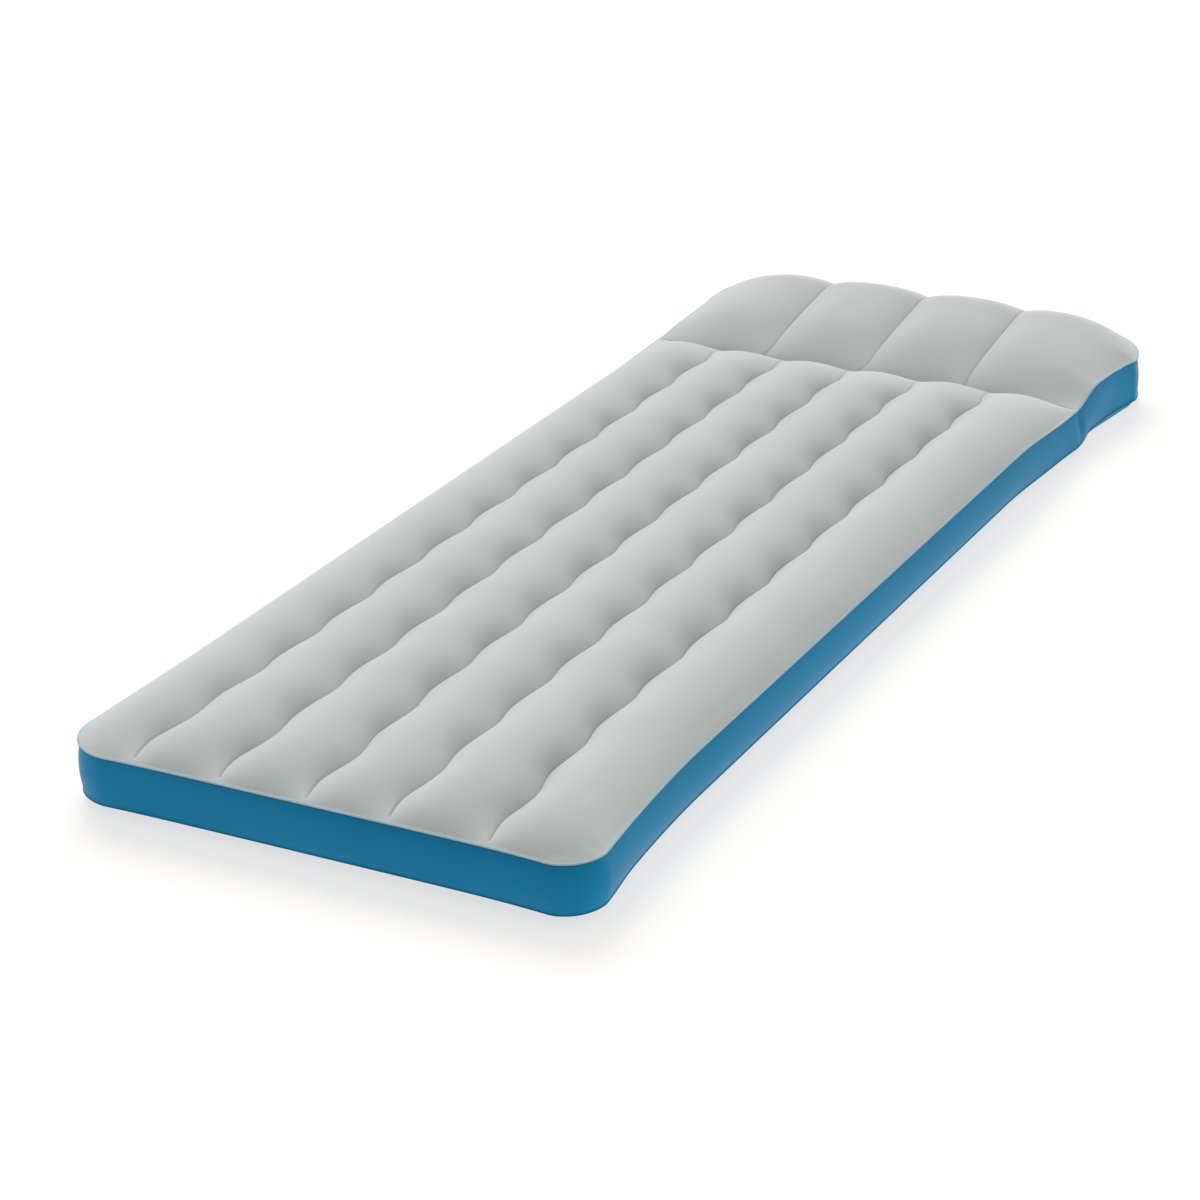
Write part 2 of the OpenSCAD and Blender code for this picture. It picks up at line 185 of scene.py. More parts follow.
def pillow_line(i, y):
    """X of the pillow's line i at y: the edge welds are the first and the last."""
    if i in (0, CHAMBERS):
        return half_width(y, i - 1) * (1 if i else -1)
    return np.full_like(y, (i - CHAMBERS / 2) * PILLOW_PITCH)


def pillow_profile(y):
    """Height of the pillow's seams at y, and the share of the full crown between them."""
    front = np.clip((y - JUNCTION_Y) / (PILLOW_PEAK_Y - JUNCTION_Y), 0, 1)
    back = 1 - np.clip((y - PILLOW_PEAK_Y) / (HEAD_Y - PILLOW_PEAK_Y), 0, 1) ** BACK_POWER
    before = y < PILLOW_PEAK_Y
    low = np.where(before, JUNCTION_Z, PILLOW_EDGE_Z)
    seam = low + (PILLOW_VALLEY_Z - low) * np.where(before, front ** FRONT_POWER, back)
    swell = (np.clip((y - JUNCTION_Y) / SWELL_L, 0, 1) ** SWELL_POWER
             * (1 + SWELL_EXTRA * np.sin(math.pi * front) * before))
    return seam, np.where(before, swell, back)


def pillow_height(x, y):
    """The pillow's top film. Away from its ends the profile is a mean over SOFT_REACH each way."""
    seam, crown = pillow_profile(y)
    soft = (ease((y - JUNCTION_Y - SOFT_START) / SOFT_START_L)
            * ease((HEAD_Y - SOFT_END - y) / SOFT_END_L))
    near = [pillow_profile(y + d) for d in np.linspace(-SOFT_REACH, SOFT_REACH, 9)]
    seam = seam + soft * (np.mean([n[0] for n in near], 0) - seam)
    crown = PILLOW_CROWN * (crown + soft * (np.mean([n[1] for n in near], 0) - crown))
    away, half = np.abs(x), half_width(y, x)
    outer = away > PILLOW_PITCH
    t = np.where(outer, (half - away) / (half - PILLOW_PITCH), 1 - away / PILLOW_PITCH)
    t = np.clip(t, 0, 1)
    edge = edge_z(y, x)
    base = np.where(outer, edge + (seam - edge) * (1 - (1 - t) ** 2), seam)
    return base + crown * (1 - np.abs(2 * t - 1) ** CROWN_POWER)


# ---------------------------------------------------------------- plan grid
# Rows run across the mattress. A seam lies along one column, and the cross weld along one row.
COLUMNS = 120
PER_BODY, PER_PILLOW = COLUMNS // BODY_CHANNELS, COLUMNS // CHAMBERS
CROWDING = 0.8  # how much closer together the columns are beside their seams
BODY_ROWS, PILLOW_ROWS = 196, 36
END_GAP, JUNCTION_GAP = 0.0485, 0.050  # between the even rows and the end or the cross weld
END_ROWS_MM = (0, 1.6, 3.6, 6.2, 9.4, 13.2, 17.6, 22.6, 28.2, 34.4, 41.2)
JUNCTION_ROWS_MM = (42.5, 35.5, 29, 23, 17.6, 12.8, 8.8, 5.6, 3.2, 1.4)
CHANGEOVER_L = 0.030  # over which the columns pass from the body's seams to the pillow's


def lines_to_columns(line, count, y):
    """X of every column at y, from the lines of count channels, closer together at each line."""
    n = COLUMNS // count
    u = np.linspace(0, 1, n + 1)
    t = (1 - CROWDING) * u + CROWDING * 0.5 * (1 - np.cos(math.pi * u))
    out = np.zeros(COLUMNS + 1)
    for i in range(count):
        a, b = line(i, y), line(i + 1, y)
        out[i * n:(i + 1) * n + 1] = a + t * (b - a)
    return out


def round_corners(x, y):
    """Maps a square at each corner of the plan onto a quarter disc, and slants the foot end."""
    r = np.where(y > 0, by_side(x, HEAD_CORNER_R), by_side(x, FOOT_CORNER_R))
    half = half_width(y, x)
    a = np.clip((np.abs(x) - (half - r)) / r, 0, 1)
    b = np.clip((np.abs(y) - (HEAD_Y - r)) / r, 0, 1)
    inside = (a > 0) & (b > 0)
    nx = np.where(inside, np.sign(x) * (half - r + r * a * np.sqrt(1 - b * b / 2)), x)
    ny = np.where(inside, np.sign(y) * (HEAD_Y - r + r * b * np.sqrt(1 - a * a / 2)), y)
    inner = np.clip(nx, *SLANT_RANGE_X)
    bow = FOOT_BOW * (np.abs(inner) / SLANT_RANGE_X[1]) ** FOOT_BOW_POWER
    return nx, ny + ease((SLANT_Y - y) / SLANT_L) * (SLANT * inner - bow)


def row_places():
    """Rows along Y, closer together at the ends and on both sides of the cross weld."""
    foot = FOOT_Y + np.array(END_ROWS_MM) / 1000
    body = np.linspace(FOOT_Y + END_GAP, JUNCTION_Y - JUNCTION_GAP, BODY_ROWS)
    near = np.array(JUNCTION_ROWS_MM) / 1000
    pillow = np.linspace(JUNCTION_Y + JUNCTION_GAP, HEAD_Y - END_GAP, PILLOW_ROWS)
    head = HEAD_Y - (foot[::-1] - FOOT_Y)
    return np.concatenate([foot, body, JUNCTION_Y - near, [JUNCTION_Y], JUNCTION_Y + near[::-1],
                           pillow, head])


rows_y = row_places()
ROWS = len(rows_y)
JUNCTION_ROW = int(np.argmin(np.abs(rows_y - JUNCTION_Y)))
plan_x = np.zeros((ROWS, COLUMNS + 1))
for j, y in enumerate(rows_y):
    body = lines_to_columns(body_line, BODY_CHANNELS, y)
    pillow = lines_to_columns(pillow_line, CHAMBERS, y)
    plan_x[j] = body + (pillow - body) * ease((y - JUNCTION_Y) / CHANGEOVER_L)
plan_y = np.repeat(rows_y[:, None], COLUMNS + 1, axis=1)
pillow_h = pillow_height(plan_x, plan_y)
plan_x, plan_y = round_corners(plan_x, plan_y)


# ---------------------------------------------------------------- film under pressure
LOAD = 13.6  # pressure over the film's tension, per metre
TOP_ROUNDS, BOTTOM_ROUNDS = 14, 6
MAX_STEPS, CLOSE_ENOUGH = 900, 1e-9
LOWEST_Z = 0.0003

# where the seams' welds hold the film: distances from the ends and from the cross weld
SEAM_FOOT_GAP, SEAM_CROSS_GAP = 0.008, 0.010
PILLOW_SEAM_CROSS_GAP, PILLOW_SEAM_HEAD_GAP = 0.020, 0.014


def triangle_weights(x, y, h, ids):
    """Stiffness of the edges of one triangle per cell, divided by its slope, and its area."""
    a, b, c = [(x[i], y[i], h[i]) for i in ids]
    area = 0.5 * ((b[0] - a[0]) * (c[1] - a[1]) - (c[0] - a[0]) * (b[1] - a[1]))
    n1 = (b[1] - a[1]) * (c[2] - a[2]) - (b[2] - a[2]) * (c[1] - a[1])
    n2 = (b[2] - a[2]) * (c[0] - a[0]) - (b[0] - a[0]) * (c[2] - a[2])
    slope = np.sqrt(1 + (n1 * n1 + n2 * n2) / (4 * area * area))
    out = []
    for o, p, q in ((a, b, c), (b, c, a), (c, a, b)):
        u = (p[0] - o[0], p[1] - o[1])
        v = (q[0] - o[0], q[1] - o[1])
        out.append(0.5 * (u[0] * v[0] + u[1] * v[1]) / (2 * area) / slope)
    return out, area


def membrane(x, y, fixed, value, load, rounds):
    """Height of a film under pressure over the plan grid, held at value where fixed is true.

    Both ways of cutting a cell into triangles count by half. Each round takes the slopes of the
    round before, and solves for the heights by conjugate gradients."""
    h = np.where(fixed, value, np.mean(value[fixed]))
    free = ~fixed
    s00, s10, s01, s11 = np.s_[:-1, :-1], np.s_[1:, :-1], np.s_[:-1, 1:], np.s_[1:, 1:]
    splits = [(s00, s01, s11), (s00, s11, s10), (s00, s01, s10), (s01, s11, s10)]
    for _ in range(rounds):
        weight = {}
        force = np.zeros_like(h)
        for ids in splits:
            w, area = triangle_weights(x, y, h, ids)
            for k in range(3):
                p, q = ids[(k + 1) % 3], ids[(k + 2) % 3]
                link = weight.setdefault((str(p), str(q)), [p, q, 0])
                link[2] = link[2] + 0.5 * w[k]
                force[ids[k]] += 0.5 * area / 3 * load
        links = list(weight.values())
        diagonal = np.zeros_like(h)
        for p, q, w in links:
            diagonal[p] += w
            diagonal[q] += w

        def apply(v):
            out = diagonal * v
            for p, q, w in links:
                out[p] -= w * v[q]
                out[q] -= w * v[p]
            return np.where(free, out, 0)

        r = np.where(free, force, 0) - apply(h)
        z = r / diagonal
        d = z.copy()
        start = rz = float((r * z).sum())
        for _ in range(MAX_STEPS):
            if rz <= start * CLOSE_ENOUGH or rz == 0:
                break
            ad = apply(d)
            alpha = rz / float((d * ad).sum())
            h = h + alpha * d
            r = r - alpha * ad
            z = r / diagonal
            new = float((r * z).sum())
            d = z + new / rz * d
            rz = new
    return h


def held_points(edge, seam, cross, pillow=None):
    """Which grid points are held, and how high: the border, the seams and the cross weld, and
    with pillow the whole pillow."""
    fixed = np.zeros((ROWS, COLUMNS + 1), bool)
    value = np.zeros((ROWS, COLUMNS + 1))
    fixed[0], fixed[-1], fixed[:, 0], fixed[:, -1] = True, True, True, True
    value[fixed] = edge(plan_y, plan_x)[fixed]
    on_body = (rows_y > FOOT_Y + SEAM_FOOT_GAP) & (rows_y < JUNCTION_Y - SEAM_CROSS_GAP)
    for i in range(1, BODY_CHANNELS):
        fixed[on_body, i * PER_BODY] = True
        value[on_body, i * PER_BODY] = seam(rows_y[on_body])
    on_pillow = ((rows_y > JUNCTION_Y + PILLOW_SEAM_CROSS_GAP)
                 & (rows_y < HEAD_Y - PILLOW_SEAM_HEAD_GAP))
    for i in range(1, CHAMBERS):
        fixed[on_pillow, i * PER_PILLOW] = True
        value[on_pillow, i * PER_PILLOW] = cross
    fixed[JUNCTION_ROW] = True
    value[JUNCTION_ROW] = cross
    if pillow is not None:
        fixed[JUNCTION_ROW:] = True
        value[JUNCTION_ROW:] = pillow[JUNCTION_ROW:]
    return fixed, value


def flat_weld(y, side=1):
    """Height of every weld of the bottom sheet."""
    return np.full_like(y, BOTTOM_WELD_Z)


# tucks that fan out over the foot corners: side, radius, depth and angles round the corner
TUCKS = ((1, 0.055, 0.0016, (-0.30, -0.62, -0.90, -1.22)),
         (-1, 0.070, 0.0008, (-0.45, -0.80, -1.10)))
TUCK_WIDTH = 0.055
TUCK_FROM, TUCK_FADE_IN, TUCK_FADE_OUT = 0.45, 0.35, 0.10  # as shares of the radius
TUCK_PAST_Y = 0.004


def add_tucks(height):
    for side, radius, depth, angles in TUCKS:
        away_x = side * plan_x - (half_width(FOOT_Y, side) - radius)
        away_y = plan_y - (FOOT_Y + radius)
        reach = np.hypot(away_x, away_y) / radius
        turn = np.arctan2(away_y, away_x)
        near = (ease((reach - TUCK_FROM) / TUCK_FADE_IN) * ease((1.0 - reach) / TUCK_FADE_OUT)
                * (away_x > 0) * (away_y < TUCK_PAST_Y))
        for angle in angles:
            height = height - depth * near * np.exp(-((turn - angle) / TUCK_WIDTH) ** 2)
    return height


top_held = held_points(edge_z, body_weld_z, JUNCTION_Z, pillow_h)
top_h = add_tucks(membrane(plan_x, plan_y, *top_held, LOAD, TOP_ROUNDS))
low_held = held_points(flat_weld, flat_weld, BOTTOM_WELD_Z)
low_h = np.maximum(membrane(plan_x, plan_y, *low_held, -LOAD, BOTTOM_ROUNDS), LOWEST_Z)


# ---------------------------------------------------------------- skins
# Each ring of a hem is (distance out, rise) from the border.
TOP_HEM = ((0.0012, -0.0002), (WELD, -0.0008), (0.0042, -0.0014))
BOTTOM_HEM = ((0.0015, 0.0),)
PILLOW_GROOVE, BODY_GROOVE, FOOT_GROOVE = 0.0007, 0.0010, 0.0014
FOOT_GROOVE_START, FOOT_GROOVE_L = 0.07, 0.04
GROOVE_CROSS_GAP, GROOVE_HEAD_GAP = 0.004, 0.010


def new_object(name, points, faces):
    mesh = bpy.data.meshes.new(name)
    mesh.from_pydata([tuple(p) for p in points], [], [tuple(f) for f in faces])
    mesh.validate()
    mesh.update()
    mesh.shade_smooth()
    obj = bpy.data.objects.new(name, mesh)
    bpy.context.collection.objects.link(obj)
    return obj


def point_id(j, k):
    """Number of a grid point in a skin's mesh."""
    return j * (COLUMNS + 1) + k


def ring_ids():
    """The grid's border as a closed anticlockwise loop of (row, column)."""
    n, m = ROWS - 1, COLUMNS
    return ([(0, k) for k in range(m)] + [(j, m) for j in range(n)]
            + [(n, k) for k in range(m, 0, -1)] + [(j, 0) for j in range(n, 0, -1)])


border = ring_ids()
border_xy = np.array([(plan_x[j, k], plan_y[j, k]) for j, k in border])
step = np.roll(border_xy, -1, 0) - np.roll(border_xy, 1, 0)
outward = np.stack([step[:, 1], -step[:, 0]], 1)
outward /= np.linalg.norm(outward, axis=1)[:, None]


def skin(name, height, up, hem):
    """A film over the plan grid and its hem, with its outside up or down."""
    points = [(plan_x[j, k], plan_y[j, k], height[j, k])
              for j in range(ROWS) for k in range(COLUMNS + 1)]
    faces = []
    for j in range(ROWS - 1):
        for k in range(COLUMNS):
            quad = (point_id(j, k), point_id(j, k + 1), point_id(j + 1, k + 1), point_id(j + 1, k))
            faces.append(quad if up else quad[::-1])
    last = [point_id(j, k) for j, k in border]
    n = len(last)
    for out, lift in hem:
        first = len(points)
        for (j, k), p, d in zip(border, border_xy, outward):
            points.append((p[0] + out * d[0], p[1] + out * d[1], height[j, k] + lift))
        this = list(range(first, first + n))
        for i in range(n):
            a, b = last[i], last[(i + 1) % n]
            c, d = this[(i + 1) % n], this[i]
            faces.append((a, d, c, b) if up else (a, b, c, d))
        last = this
    return new_object(name, points, faces)


def make_top():
    """The top sheet, with a groove along each seam, a mask for painted crease shade on the seams
    and one for the hem's colour.
    """
    seams = np.zeros((ROWS, COLUMNS + 1))
    on_body = (rows_y > FOOT_Y + SEAM_FOOT_GAP) & (rows_y < JUNCTION_Y)
    on_pillow = (rows_y > JUNCTION_Y + GROOVE_CROSS_GAP) & (rows_y < HEAD_Y - GROOVE_HEAD_GAP)
    for part, count, per in ((on_body, BODY_CHANNELS, PER_BODY),
                             (on_pillow, CHAMBERS, PER_PILLOW)):
        for i in range(1, count):
            seams[part, i * per] = 1
    seams[JUNCTION_ROW, 1:-1] = 1
    at_foot = ease((FOOT_Y + FOOT_GROOVE_START - plan_y) / FOOT_GROOVE_L)
    depth = np.where(plan_y > JUNCTION_Y, PILLOW_GROOVE, BODY_GROOVE + FOOT_GROOVE * at_foot)
    obj = skin("flocked_top_sheet", top_h + FILM - depth * seams, True, TOP_HEM)
    count = len(obj.data.vertices)
    on_hem = np.arange(count) >= seams.size
    # this mask marks the seam lines, where the material darkens the colour as painted shade of the
    # creases
    seam_shade_mask = np.concatenate([seams.ravel(), np.zeros(count - seams.size)])
    for name, values in (("edge", on_hem), ("seam", seam_shade_mask)):
        mask = obj.data.attributes.new(name, "FLOAT", "POINT")
        mask.data.foreach_set("value", values.astype(np.float32))
    return obj


# How far the base of the side wall stands out past the edge weld above it: everywhere, then more
# by each (amount, place, length) from that place on, where a length below 0 counts towards the
# foot, and by (amount, place, width) near a place.
BASE_OUT = -0.002
BASE_OUT_STEPS = ((0.010, 0.36, 0.20), (-0.004, 0.62, 0.06), (0.003, -0.80, -0.08))
BASE_OUT_NEAR = (0.005, 0.600, 0.040)
BASE_SHIFT_AT_HEAD, BASE_SHIFT_AT_FOOT = -0.002, -0.003  # along Y, at the two ends
BASE_BAND = 0.060  # the width of the border that moves


def base_place(x, y):
    """Where a plan point near the edge lies at the base of the side wall."""
    side = ease((abs(x) - half_width(y, x) + BASE_BAND) / BASE_BAND)
    end = ease((abs(y) - HEAD_Y + BASE_BAND) / BASE_BAND)
    out = BASE_OUT
    for amount, place, length in BASE_OUT_STEPS:
        out = out + amount * ease((y - place) / length)
    amount, place, width = BASE_OUT_NEAR
    out = out + amount * math.exp(-((y - place) / width) ** 2)
    shift = BASE_SHIFT_AT_HEAD if y > 0 else BASE_SHIFT_AT_FOOT
    return x + math.copysign(1, x) * out * side, y + shift * end


def make_bottom():
    obj = skin("vinyl_bottom_sheet", low_h, False, BOTTOM_HEM)
    for v in obj.data.vertices:
        v.co.x, v.co.y = map(float, base_place(v.co.x, v.co.y))
    return obj


top = make_top()
bottom = make_bottom()

# ---------------------------------------------------------------- side wall
VALVE = Vector((-0.358, 0.770, 0.045))  # where the valve's axis meets the wall
VALVE_REACH, VALVE_FLAT_R, VALVE_FLAT_L, VALVE_HOLE_R = 0.06, 0.036, 0.010, 0.0200
WALL_ROWS = 16
BULGE, HEAD_BULGE_LESS, FOOT_BULGE_LESS = 0.008, 0.004, 0.003
HEAD_BULGE_Y, HEAD_BULGE_L, FOOT_BULGE_Y, FOOT_BULGE_L = 0.70, 0.08, -0.70, 0.12
FOOT_BULGE_X = 0.2  # over which the foot's smaller bulge comes in, from the middle to the left
CREASE, CREASE_WIDTH = 0.004, 0.010  # below the end of the cross weld
LEAN_POWER = 2.5  # how soon above its base the wall is back under the edge weld
WALL_HEM_LOW = ((0.0012, 0.0), (0.0006, 0.0005))
WALL_HEM_HIGH = ((0.0010, -0.0006), (WELD, -0.0018))
WALL_UNDER_TOP = 0.0003


def wall_bulge(x, y):
    """How far the wall stands out at half height, above one point of the border."""
    if x > 0:
        less = HEAD_BULGE_LESS * float(ease((y - HEAD_BULGE_Y) / HEAD_BULGE_L))
    else:
        less = (FOOT_BULGE_LESS * float(ease((FOOT_BULGE_Y - y) / FOOT_BULGE_L))
                * min(1, -x / FOOT_BULGE_X))
    crease = CREASE * math.exp(-((y - JUNCTION_Y) / CREASE_WIDTH) ** 2)
    return BULGE - less - crease


def make_wall():
    """The side wall between the bottom and the top weld, flat round the valve and open in it."""
    points, faces = [], []
    n = len(border)
    for p, d in zip(border_xy, outward):
        low, high = BOTTOM_WELD_Z + FILM, float(edge_z(p[1], p[0])) - WALL_UNDER_TOP
        base = np.array([float(v) for v in base_place(*p)])
        for out, lift in WALL_HEM_LOW:
            points.append((base[0] + out * d[0], base[1] + out * d[1], low + lift))
        bulge = wall_bulge(*p)
        for t in np.linspace(0, 1, WALL_ROWS + 1)[1:-1]:
            x, y = (p + (base - p) * (1 - t) ** LEAN_POWER
                    + bulge * (1 - (2 * t - 1) ** 2) * d)
            z = low + t * (high - low)
            if x < 0 and abs(y - VALVE.y) < VALVE_REACH:
                r = math.hypot(y - VALVE.y, z - VALVE.z)
                x += (VALVE.x - x) * float(ease((VALVE_FLAT_R - r) / VALVE_FLAT_L))
            points.append((x, y, z))
        for out, lift in WALL_HEM_HIGH:
            points.append((p[0] + out * d[0], p[1] + out * d[1], high + lift))
    m = len(points) // n
    for i in range(n):
        a, b = i * m, ((i + 1) % n) * m
        for c in range(m - 1):
            quad = (a + c, b + c, b + c + 1, a + c + 1)
            centre = sum((Vector(points[q]) for q in quad), Vector()) / 4
            in_hole = math.hypot(centre.y - VALVE.y, centre.z - VALVE.z) < VALVE_HOLE_R
            if centre.x >= 0 or not in_hole:
                faces.append(quad)
    return new_object("vinyl_side_wall", points, faces)


wall = make_wall()

# ---------------------------------------------------------------- webs
WEB_LEVELS = 7
CROSS_WEB_INSET = 3  # columns
WEB_FOOT_GAP, WEB_CROSS_GAP = 0.028, 0.060
PILLOW_WEB_CROSS_GAP, PILLOW_WEB_HEAD_GAP = 0.030, 0.014


def web(name, columns, rows):
    """A strip of film from the bottom weld to the top weld along one line of the grid, and its
    flat size."""
    places = [(j, k) for j in rows for k in columns]
    points, length = [], 0.0
    for j, k in places:
        low = bottom.data.vertices[point_id(j, k)].co
        high = top.data.vertices[point_id(j, k)].co
        points += [low.lerp(high, t) for t in np.linspace(0, 1, WEB_LEVELS)]
    for (j, k), (a, b) in zip(places, places[1:]):
        length += math.hypot(plan_x[j, k] - plan_x[a, b], plan_y[j, k] - plan_y[a, b])
    m = WEB_LEVELS
    faces = [(a * m + c, (a + 1) * m + c, (a + 1) * m + c + 1, a * m + c + 1)
             for a in range(len(places) - 1) for c in range(m - 1)]
    tall = float(np.mean([points[i * m + m - 1].z - points[i * m].z for i in range(len(places))]))
    return new_object(name, points, faces), (round(tall, 3), round(length, 3))


def web_rows(low, high):
    return [j for j, y in enumerate(rows_y) if low < y < high]


body_web_rows = web_rows(FOOT_Y + WEB_FOOT_GAP, JUNCTION_Y - WEB_CROSS_GAP)
pillow_web_rows = web_rows(JUNCTION_Y + PILLOW_WEB_CROSS_GAP, HEAD_Y - PILLOW_WEB_HEAD_GAP)
cross_web_columns = list(range(CROSS_WEB_INSET, COLUMNS - CROSS_WEB_INSET + 1))
# name, the CAD node that it replaces, columns, rows
webs = [(f"wave_web_{i}", f"wave_beam_{i}", [i * PER_BODY], body_web_rows)
        for i in range(1, BODY_CHANNELS)]
webs.append(("cross_web", "cross_beam", cross_web_columns, [JUNCTION_ROW]))
webs += [(f"pillow_web_{i}", f"pillow_beam_{i}", [i * PER_PILLOW], pillow_web_rows)
         for i in range(1, CHAMBERS)]


# ---------------------------------------------------------------- materials
MIX_FACTOR, MIX_A, MIX_B, MIX_RESULT = 0, 6, 7, 2  # sockets of a Mix node that mixes colours


def material(name):
    m = bpy.data.materials.new(name)
    m.use_nodes = True
    return m, m.node_tree, m.node_tree.nodes["Principled BSDF"]


def set_values(node, values):
    for name, value in values.items():
        node.inputs[name].default_value = value


def noise(tree, scale, detail, roughness=0.5):
    """Noise in the object's own metres."""
    place = tree.nodes.new("ShaderNodeTexCoord")
    node = tree.nodes.new("ShaderNodeTexNoise")
    set_values(node, {"Scale": scale, "Detail": detail, "Roughness": roughness})
    tree.links.new(place.outputs["Object"], node.inputs["Vector"])
    return node.outputs["Fac"]


def ramp(tree, source, low, high, start=0.3, end=0.7):
    """A colour that goes from low to high as source goes from start to end."""
    node = tree.nodes.new("ShaderNodeValToRGB")
    stops = node.color_ramp.elements
    stops[0].position, stops[1].position = start, end
    stops[0].color, stops[1].color = (*low, 1), (*high, 1)
    tree.links.new(source, node.inputs["Fac"])
    return node.outputs["Color"]


def bump(tree, height, distance, strength, below=None):
    """A bump of up to distance metres, on top of the one below."""
    node = tree.nodes.new("ShaderNodeBump")
    set_values(node, {"Distance": distance, "Strength": strength})
    tree.links.new(height, node.inputs["Height"])
    if below:
        tree.links.new(below, node.inputs["Normal"])
    return node.outputs["Normal"]


def flocked():
    """Short grey fibre on vinyl, with painted shade darkening the seams' creases, and bare pale
    film at the hem.
    """
    m, tree, shader = material("flocked_top")
    colour = ramp(tree, noise(tree, 9.0, 3.0), (0.525, 0.555, 0.548), (0.555, 0.585, 0.578))
    # along the seams the colour is darkened as painted shade of the creases; the hem gets the pale
    # colour of its bare film
    for mask, hem_tint_and_seam_shade in (("seam", (0.40, 0.42, 0.415, 1)), ("edge", (0.38, 0.56, 0.64, 1))):
        where = tree.nodes.new("ShaderNodeAttribute")
        where.attribute_name = mask
        mix = tree.nodes.new("ShaderNodeMix")
        mix.data_type = "RGBA"
        tree.links.new(where.outputs["Fac"], mix.inputs[MIX_FACTOR])
        tree.links.new(colour, mix.inputs[MIX_A])
        mix.inputs[MIX_B].default_value = hem_tint_and_seam_shade
        colour = mix.outputs[MIX_RESULT]
    tree.links.new(colour, shader.inputs["Base Color"])
    set_values(shader, {"Roughness": 0.95, "Specular IOR Level": 0.15,
                        "Sheen Weight": 0.25, "Sheen Roughness": 0.5})
    fibre = bump(tree, noise(tree, 1500.0, 2.0, 0.7), 0.00025, 0.5)
    nap = bump(tree, noise(tree, 60.0, 2.0), 0.0004, 0.4, fibre)
    tree.links.new(nap, shader.inputs["Normal"])
    return m


def vinyl(name, low, high):
    """Soft vinyl film with a fine grain and a slight waviness."""
    m, tree, shader = material(name)
    tree.links.new(ramp(tree, noise(tree, 7.0, 2.0), low, high), shader.inputs["Base Color"])
    set_values(shader, {"Roughness": 0.42, "Specular IOR Level": 0.10,
                        "Sheen Weight": 0.05, "Sheen Roughness": 0.3})
    grain = bump(tree, noise(tree, 1100.0, 2.0), 0.00006, 0.6)
    waves = bump(tree, noise(tree, 45.0, 1.0), 0.0006, 0.35, grain)
    tree.links.new(waves, shader.inputs["Normal"])
    return m


def plastic(name, low, high, roughness):
    """Moulded plastic, rubber or bare film, with a faint grain."""
    m, tree, shader = material(name)
    tree.links.new(ramp(tree, noise(tree, 60.0, 2.0), low, high), shader.inputs["Base Color"])
    set_values(shader, {"Roughness": roughness})
    grain = bump(tree, noise(tree, 2600.0, 2.0), 0.00004, 0.5)
    tree.links.new(grain, shader.inputs["Normal"])
    return m


looks = {
    "flocked_top": flocked(),
    "vinyl_wall": vinyl("vinyl_wall", (0.002, 0.205, 0.400), (0.004, 0.222, 0.430)),
    "vinyl_bottom": vinyl("vinyl_bottom", (0.006, 0.160, 0.310), (0.009, 0.175, 0.330)),
    "beam_film": plastic("beam_film", (0.34, 0.44, 0.51), (0.37, 0.47, 0.54), 0.35),
    "valve_plastic": plastic("valve_plastic", (0.60, 0.62, 0.64), (0.65, 0.67, 0.69), 0.38),
    "strap_plastic": plastic("strap_plastic", (0.55, 0.58, 0.61), (0.60, 0.63, 0.66), 0.45),
    "cap_plastic": plastic("cap_plastic", (0.57, 0.60, 0.63), (0.62, 0.65, 0.68), 0.36),
    "seal_rubber": plastic("seal_rubber", (0.05, 0.05, 0.055), (0.065, 0.065, 0.07), 0.7),
}

# ---------------------------------------------------------------- pieces of the frame
skins = ((top, "top_sheet", "flocked_top"), (wall, "side_wall", "vinyl_wall"),
         (bottom, "bottom_sheet", "vinyl_bottom"))
for obj, node, slot in skins:
    obj.data.materials.append(looks[slot])
    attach(obj, "mattress")
    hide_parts(node)

for name, node, columns, rows in webs:
    obj, flat = web(name, columns, rows)
    obj.data.materials.append(looks["beam_film"])
    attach(obj, "mattress")
    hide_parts(node)


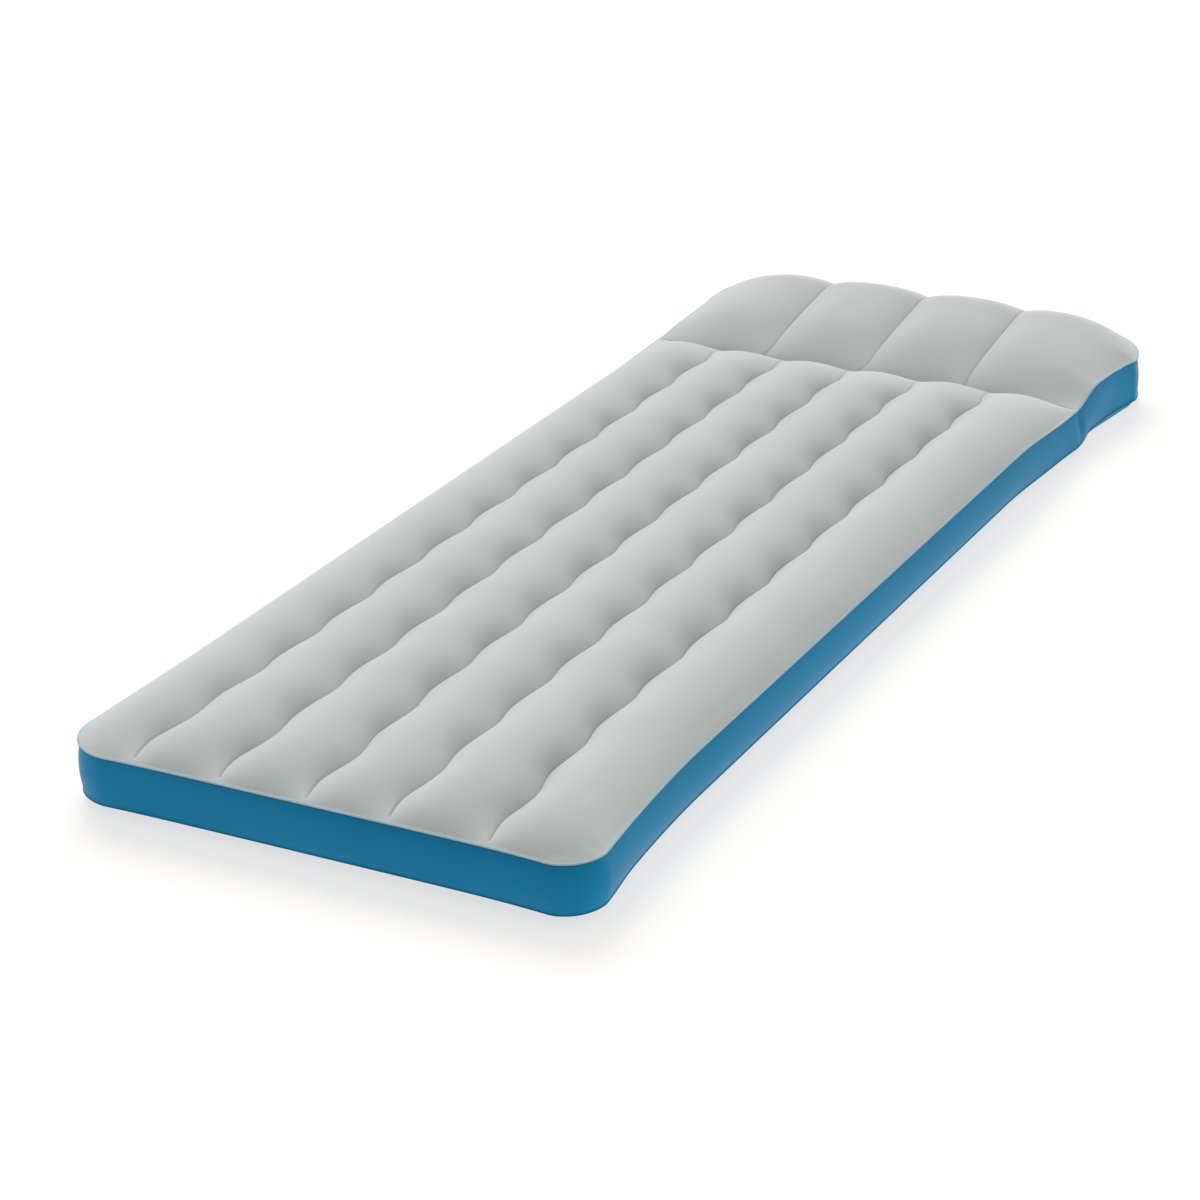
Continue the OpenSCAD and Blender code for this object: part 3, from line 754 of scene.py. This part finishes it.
def make_strap():
    """The tether: a tab on the ring, a flat arc round the flange and an eye over the post, with
    soft edges. Its outline is drawn flat round the valve's axis and then laid on the wall."""
    ring_r, arc_r, half_w, eye_r, hole_r = 0.0194, 0.0226, 0.0014, 0.0023, 0.0013
    middle, half_t, edge = 0.0025, 0.0004, 0.00015
    turn, tab, tab_gap = math.radians(140), math.radians(12), 0.02
    overlap = math.sqrt(eye_r ** 2 - half_w ** 2)
    last = turn - overlap / arc_r

    def polar(radius, angle):
        return Vector((radius * math.cos(angle), radius * math.sin(angle), 0))

    eye = polar(arc_r, turn)
    open_half = math.atan2(overlap, half_w)
    round_eye = np.linspace(-open_half, math.pi + open_half, 28)[1:-1]
    outline = [polar(ring_r, t) for t in np.linspace(tab, 0.0, 5)]
    outline += [polar(arc_r + half_w, t) for t in np.linspace(tab_gap, last, 60)]
    outline += [eye + polar(eye_r, turn + t) for t in round_eye]
    outline += [polar(arc_r - half_w, t) for t in np.linspace(last, tab + tab_gap, 56)]
    hole = [eye + polar(hole_r, -t) for t in np.linspace(0, 2 * math.pi, 25)[:-1]]
    curve = bpy.data.curves.new("strap_outline", "CURVE")
    curve.dimensions, curve.fill_mode = "2D", "BOTH"
    curve.extrude, curve.bevel_depth, curve.bevel_resolution = half_t - edge, edge, 2
    curve.offset = -edge
    for loop in (outline, hole):
        spline = curve.splines.new("POLY")
        spline.points.add(len(loop) - 1)
        spline.use_cyclic_u = True
        for point, place in zip(spline.points, loop):
            point.co = (place.x, place.y, 0, 1)
    flat = bpy.data.objects.new("strap_flat", curve)
    mesh = bpy.data.meshes.new_from_object(flat)
    bpy.data.objects.remove(flat)
    for v in mesh.vertices:
        v.co = (VALVE.x - middle - v.co.z, VALVE.y + v.co.y, VALVE.z + v.co.x)
    obj = bpy.data.objects.new("tether_strap_bending", mesh)
    bpy.context.collection.objects.link(obj)
    mesh.materials.clear()
    mesh.materials.append(looks["strap_plastic"])

    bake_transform(obj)
    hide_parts("tether_strap")


make_strap()

# The CAD nodes that still show get their slots' materials.
replaced = {"tether_strap"} | {s[1] for s in skins} | {w[1] for w in webs}
slots = {s["node"]: s["material_slot"] for s in frame["record"]["subparts"]}
for name, obj in frame["nodes"].items():
    if name not in replaced:
        for slot in obj.material_slots:
            slot.material = looks[slots[name]]


# ---------------------------------------------------------------- stage and light
def add_floor():
    """A pale floor that glows a little, so that it renders near white with soft shadows."""
    bpy.ops.mesh.primitive_plane_add(size=60, location=(0, 0, 0))
    floor = bpy.context.object
    floor.name = "floor"
    m, _, shader = material("floor")
    set_values(shader, {"Base Color": (0.36, 0.355, 0.35, 1), "Roughness": 0.9,
                        "Specular IOR Level": 0.1, "Emission Color": (1, 0.985, 0.97, 1),
                        "Emission Strength": 0.68})
    floor.data.materials.append(m)


def add_sky():
    """White at the horizon, softer above it, and darkest towards the foot and the right."""
    world = bpy.data.worlds.new("studio")
    bpy.context.scene.world = world
    world.use_nodes = True
    tree = world.node_tree
    place = tree.nodes.new("ShaderNodeTexCoord")
    toward = tree.nodes.new("ShaderNodeVectorMath")
    toward.operation = "DOT_PRODUCT"
    toward.inputs[1].default_value = (0.58, -0.815, 0)
    tree.links.new(place.outputs["Generated"], toward.inputs[0])
    parts = tree.nodes.new("ShaderNodeSeparateXYZ")
    tree.links.new(place.outputs["Generated"], parts.inputs[0])
    above = ramp(tree, toward.outputs["Value"], (0.68, 0.68, 0.68), (0.04, 0.04, 0.04), 0.0, 0.7)
    level = ramp(tree, parts.outputs["Z"], (0, 0, 0), (1, 1, 1), 0.13, 0.22)
    sky = tree.nodes.new("ShaderNodeMix")
    sky.data_type = "RGBA"
    sky.inputs[MIX_A].default_value = (1, 1, 1, 1)
    tree.links.new(level, sky.inputs[MIX_FACTOR])
    tree.links.new(above, sky.inputs[MIX_B])
    background = tree.nodes["Background"]
    tree.links.new(sky.outputs[MIX_RESULT], background.inputs["Color"])
    background.inputs["Strength"].default_value = 1.0


def add_sun(name, energy, degrees, place):
    """A sun that shines from the direction of place, degrees wide."""
    sun = bpy.data.lights.new(name, "SUN")
    sun.energy, sun.angle = energy, math.radians(degrees)
    obj = bpy.data.objects.new(name, sun)
    obj.rotation_euler = Vector(place).to_track_quat("Z", "Y").to_euler()
    bpy.context.collection.objects.link(obj)


add_floor()
add_sky()
add_sun("sun", 2.3, 35, (-2.0, 2.8, 2.8))
add_sun("fill", 0.4, 60, (1.0, 0.3, 0.45))
bpy.context.scene.view_settings.view_transform = "Standard"
